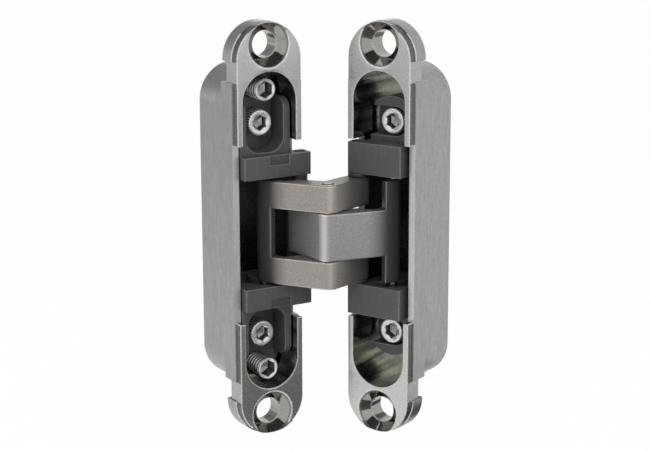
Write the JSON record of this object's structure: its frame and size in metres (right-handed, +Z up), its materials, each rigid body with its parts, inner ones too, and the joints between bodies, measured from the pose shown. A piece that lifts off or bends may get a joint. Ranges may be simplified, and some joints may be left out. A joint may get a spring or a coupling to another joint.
{
  "type": "concealed door hinge",
  "caption": "Concealed door hinge: slim die-cast leaves with countersunk lugs and screw-adjusted carriers, joined by a fork arm and a single arm that cross on a pin.",
  "frame": {"origin": "midway between the frame leaf's fixing holes, on the plane of its lugs' backs", "axes": "+Z up along the pins, -Y out of the frame leaf's face, +X across that leaf toward the door leaf"},
  "size_m": [0.0557, 0.0426, 0.1086],
  "materials": {
    "zinc_casting": "satin",
    "carrier": "matte",
    "arm": "matte",
    "screw": "polished",
    "pin": "satin",
    "bush": "matte"
  },
  "bodies": {
    "frame_leaf": {"frame_housing": "zinc_casting", "frame_clamp_screws": "screw"},
    "frame_carriers": {"frame_carrier_top": "carrier", "frame_carrier_bottom": "carrier", "frame_depth_screws": "screw", "frame_pivot_pin": "pin", "frame_pivot_spacers": "bush"},
    "single": {"single_arm": "arm", "single_pivot_bush": "bush", "centre_bush": "bush", "single_slide_pin": "pin", "single_slide_bushes": "bush"},
    "fork": {"fork_arm": "arm", "centre_pin": "pin", "fork_pivot_bushes": "bush", "fork_slide_pin": "pin", "fork_slide_bushes": "bush"},
    "door_carriers": {"door_carrier_top": "carrier", "door_carrier_bottom": "carrier", "door_pivot_pins": "pin", "door_thrust_washers": "bush"},
    "door_leaf": {"door_housing": "zinc_casting", "door_clamp_screws": "screw"}
  },
  "joints": [
    {"name": "frame_height", "type": "slide", "parent": "frame_leaf", "child": "frame_carriers", "axis": [0, 0, 1], "range_m": [-0.001, 0.001]},
    {"name": "fold", "type": "hinge", "parent": "frame_carriers", "child": "single", "pos_m": [0.0099, -0.0048, 0], "axis": [0, 0, 1], "range_deg": [-76, 44]},
    {"name": "cross", "type": "hinge", "parent": "single", "child": "fork", "pos_m": [0.01103, -0.01695, 0], "axis": [0, 0, 1], "range_deg": [-22, 38]},
    {"name": "leaf", "type": "hinge", "parent": "fork", "child": "door_carriers", "pos_m": [0.02258, -0.01304, 0], "axis": [0, 0, 1], "range_deg": [-76, 44]},
    {"name": "door_side", "type": "slide", "parent": "door_carriers", "child": "door_leaf", "axis": [0.4067, -0.9135, 0], "range_m": [-0.0008, 0.0008]}
  ],
  "couplings": [
    {"joint": "cross", "follows": "fold", "ratio": -0.5},
    {"joint": "leaf", "follows": "fold", "ratio": 1}
  ]
}
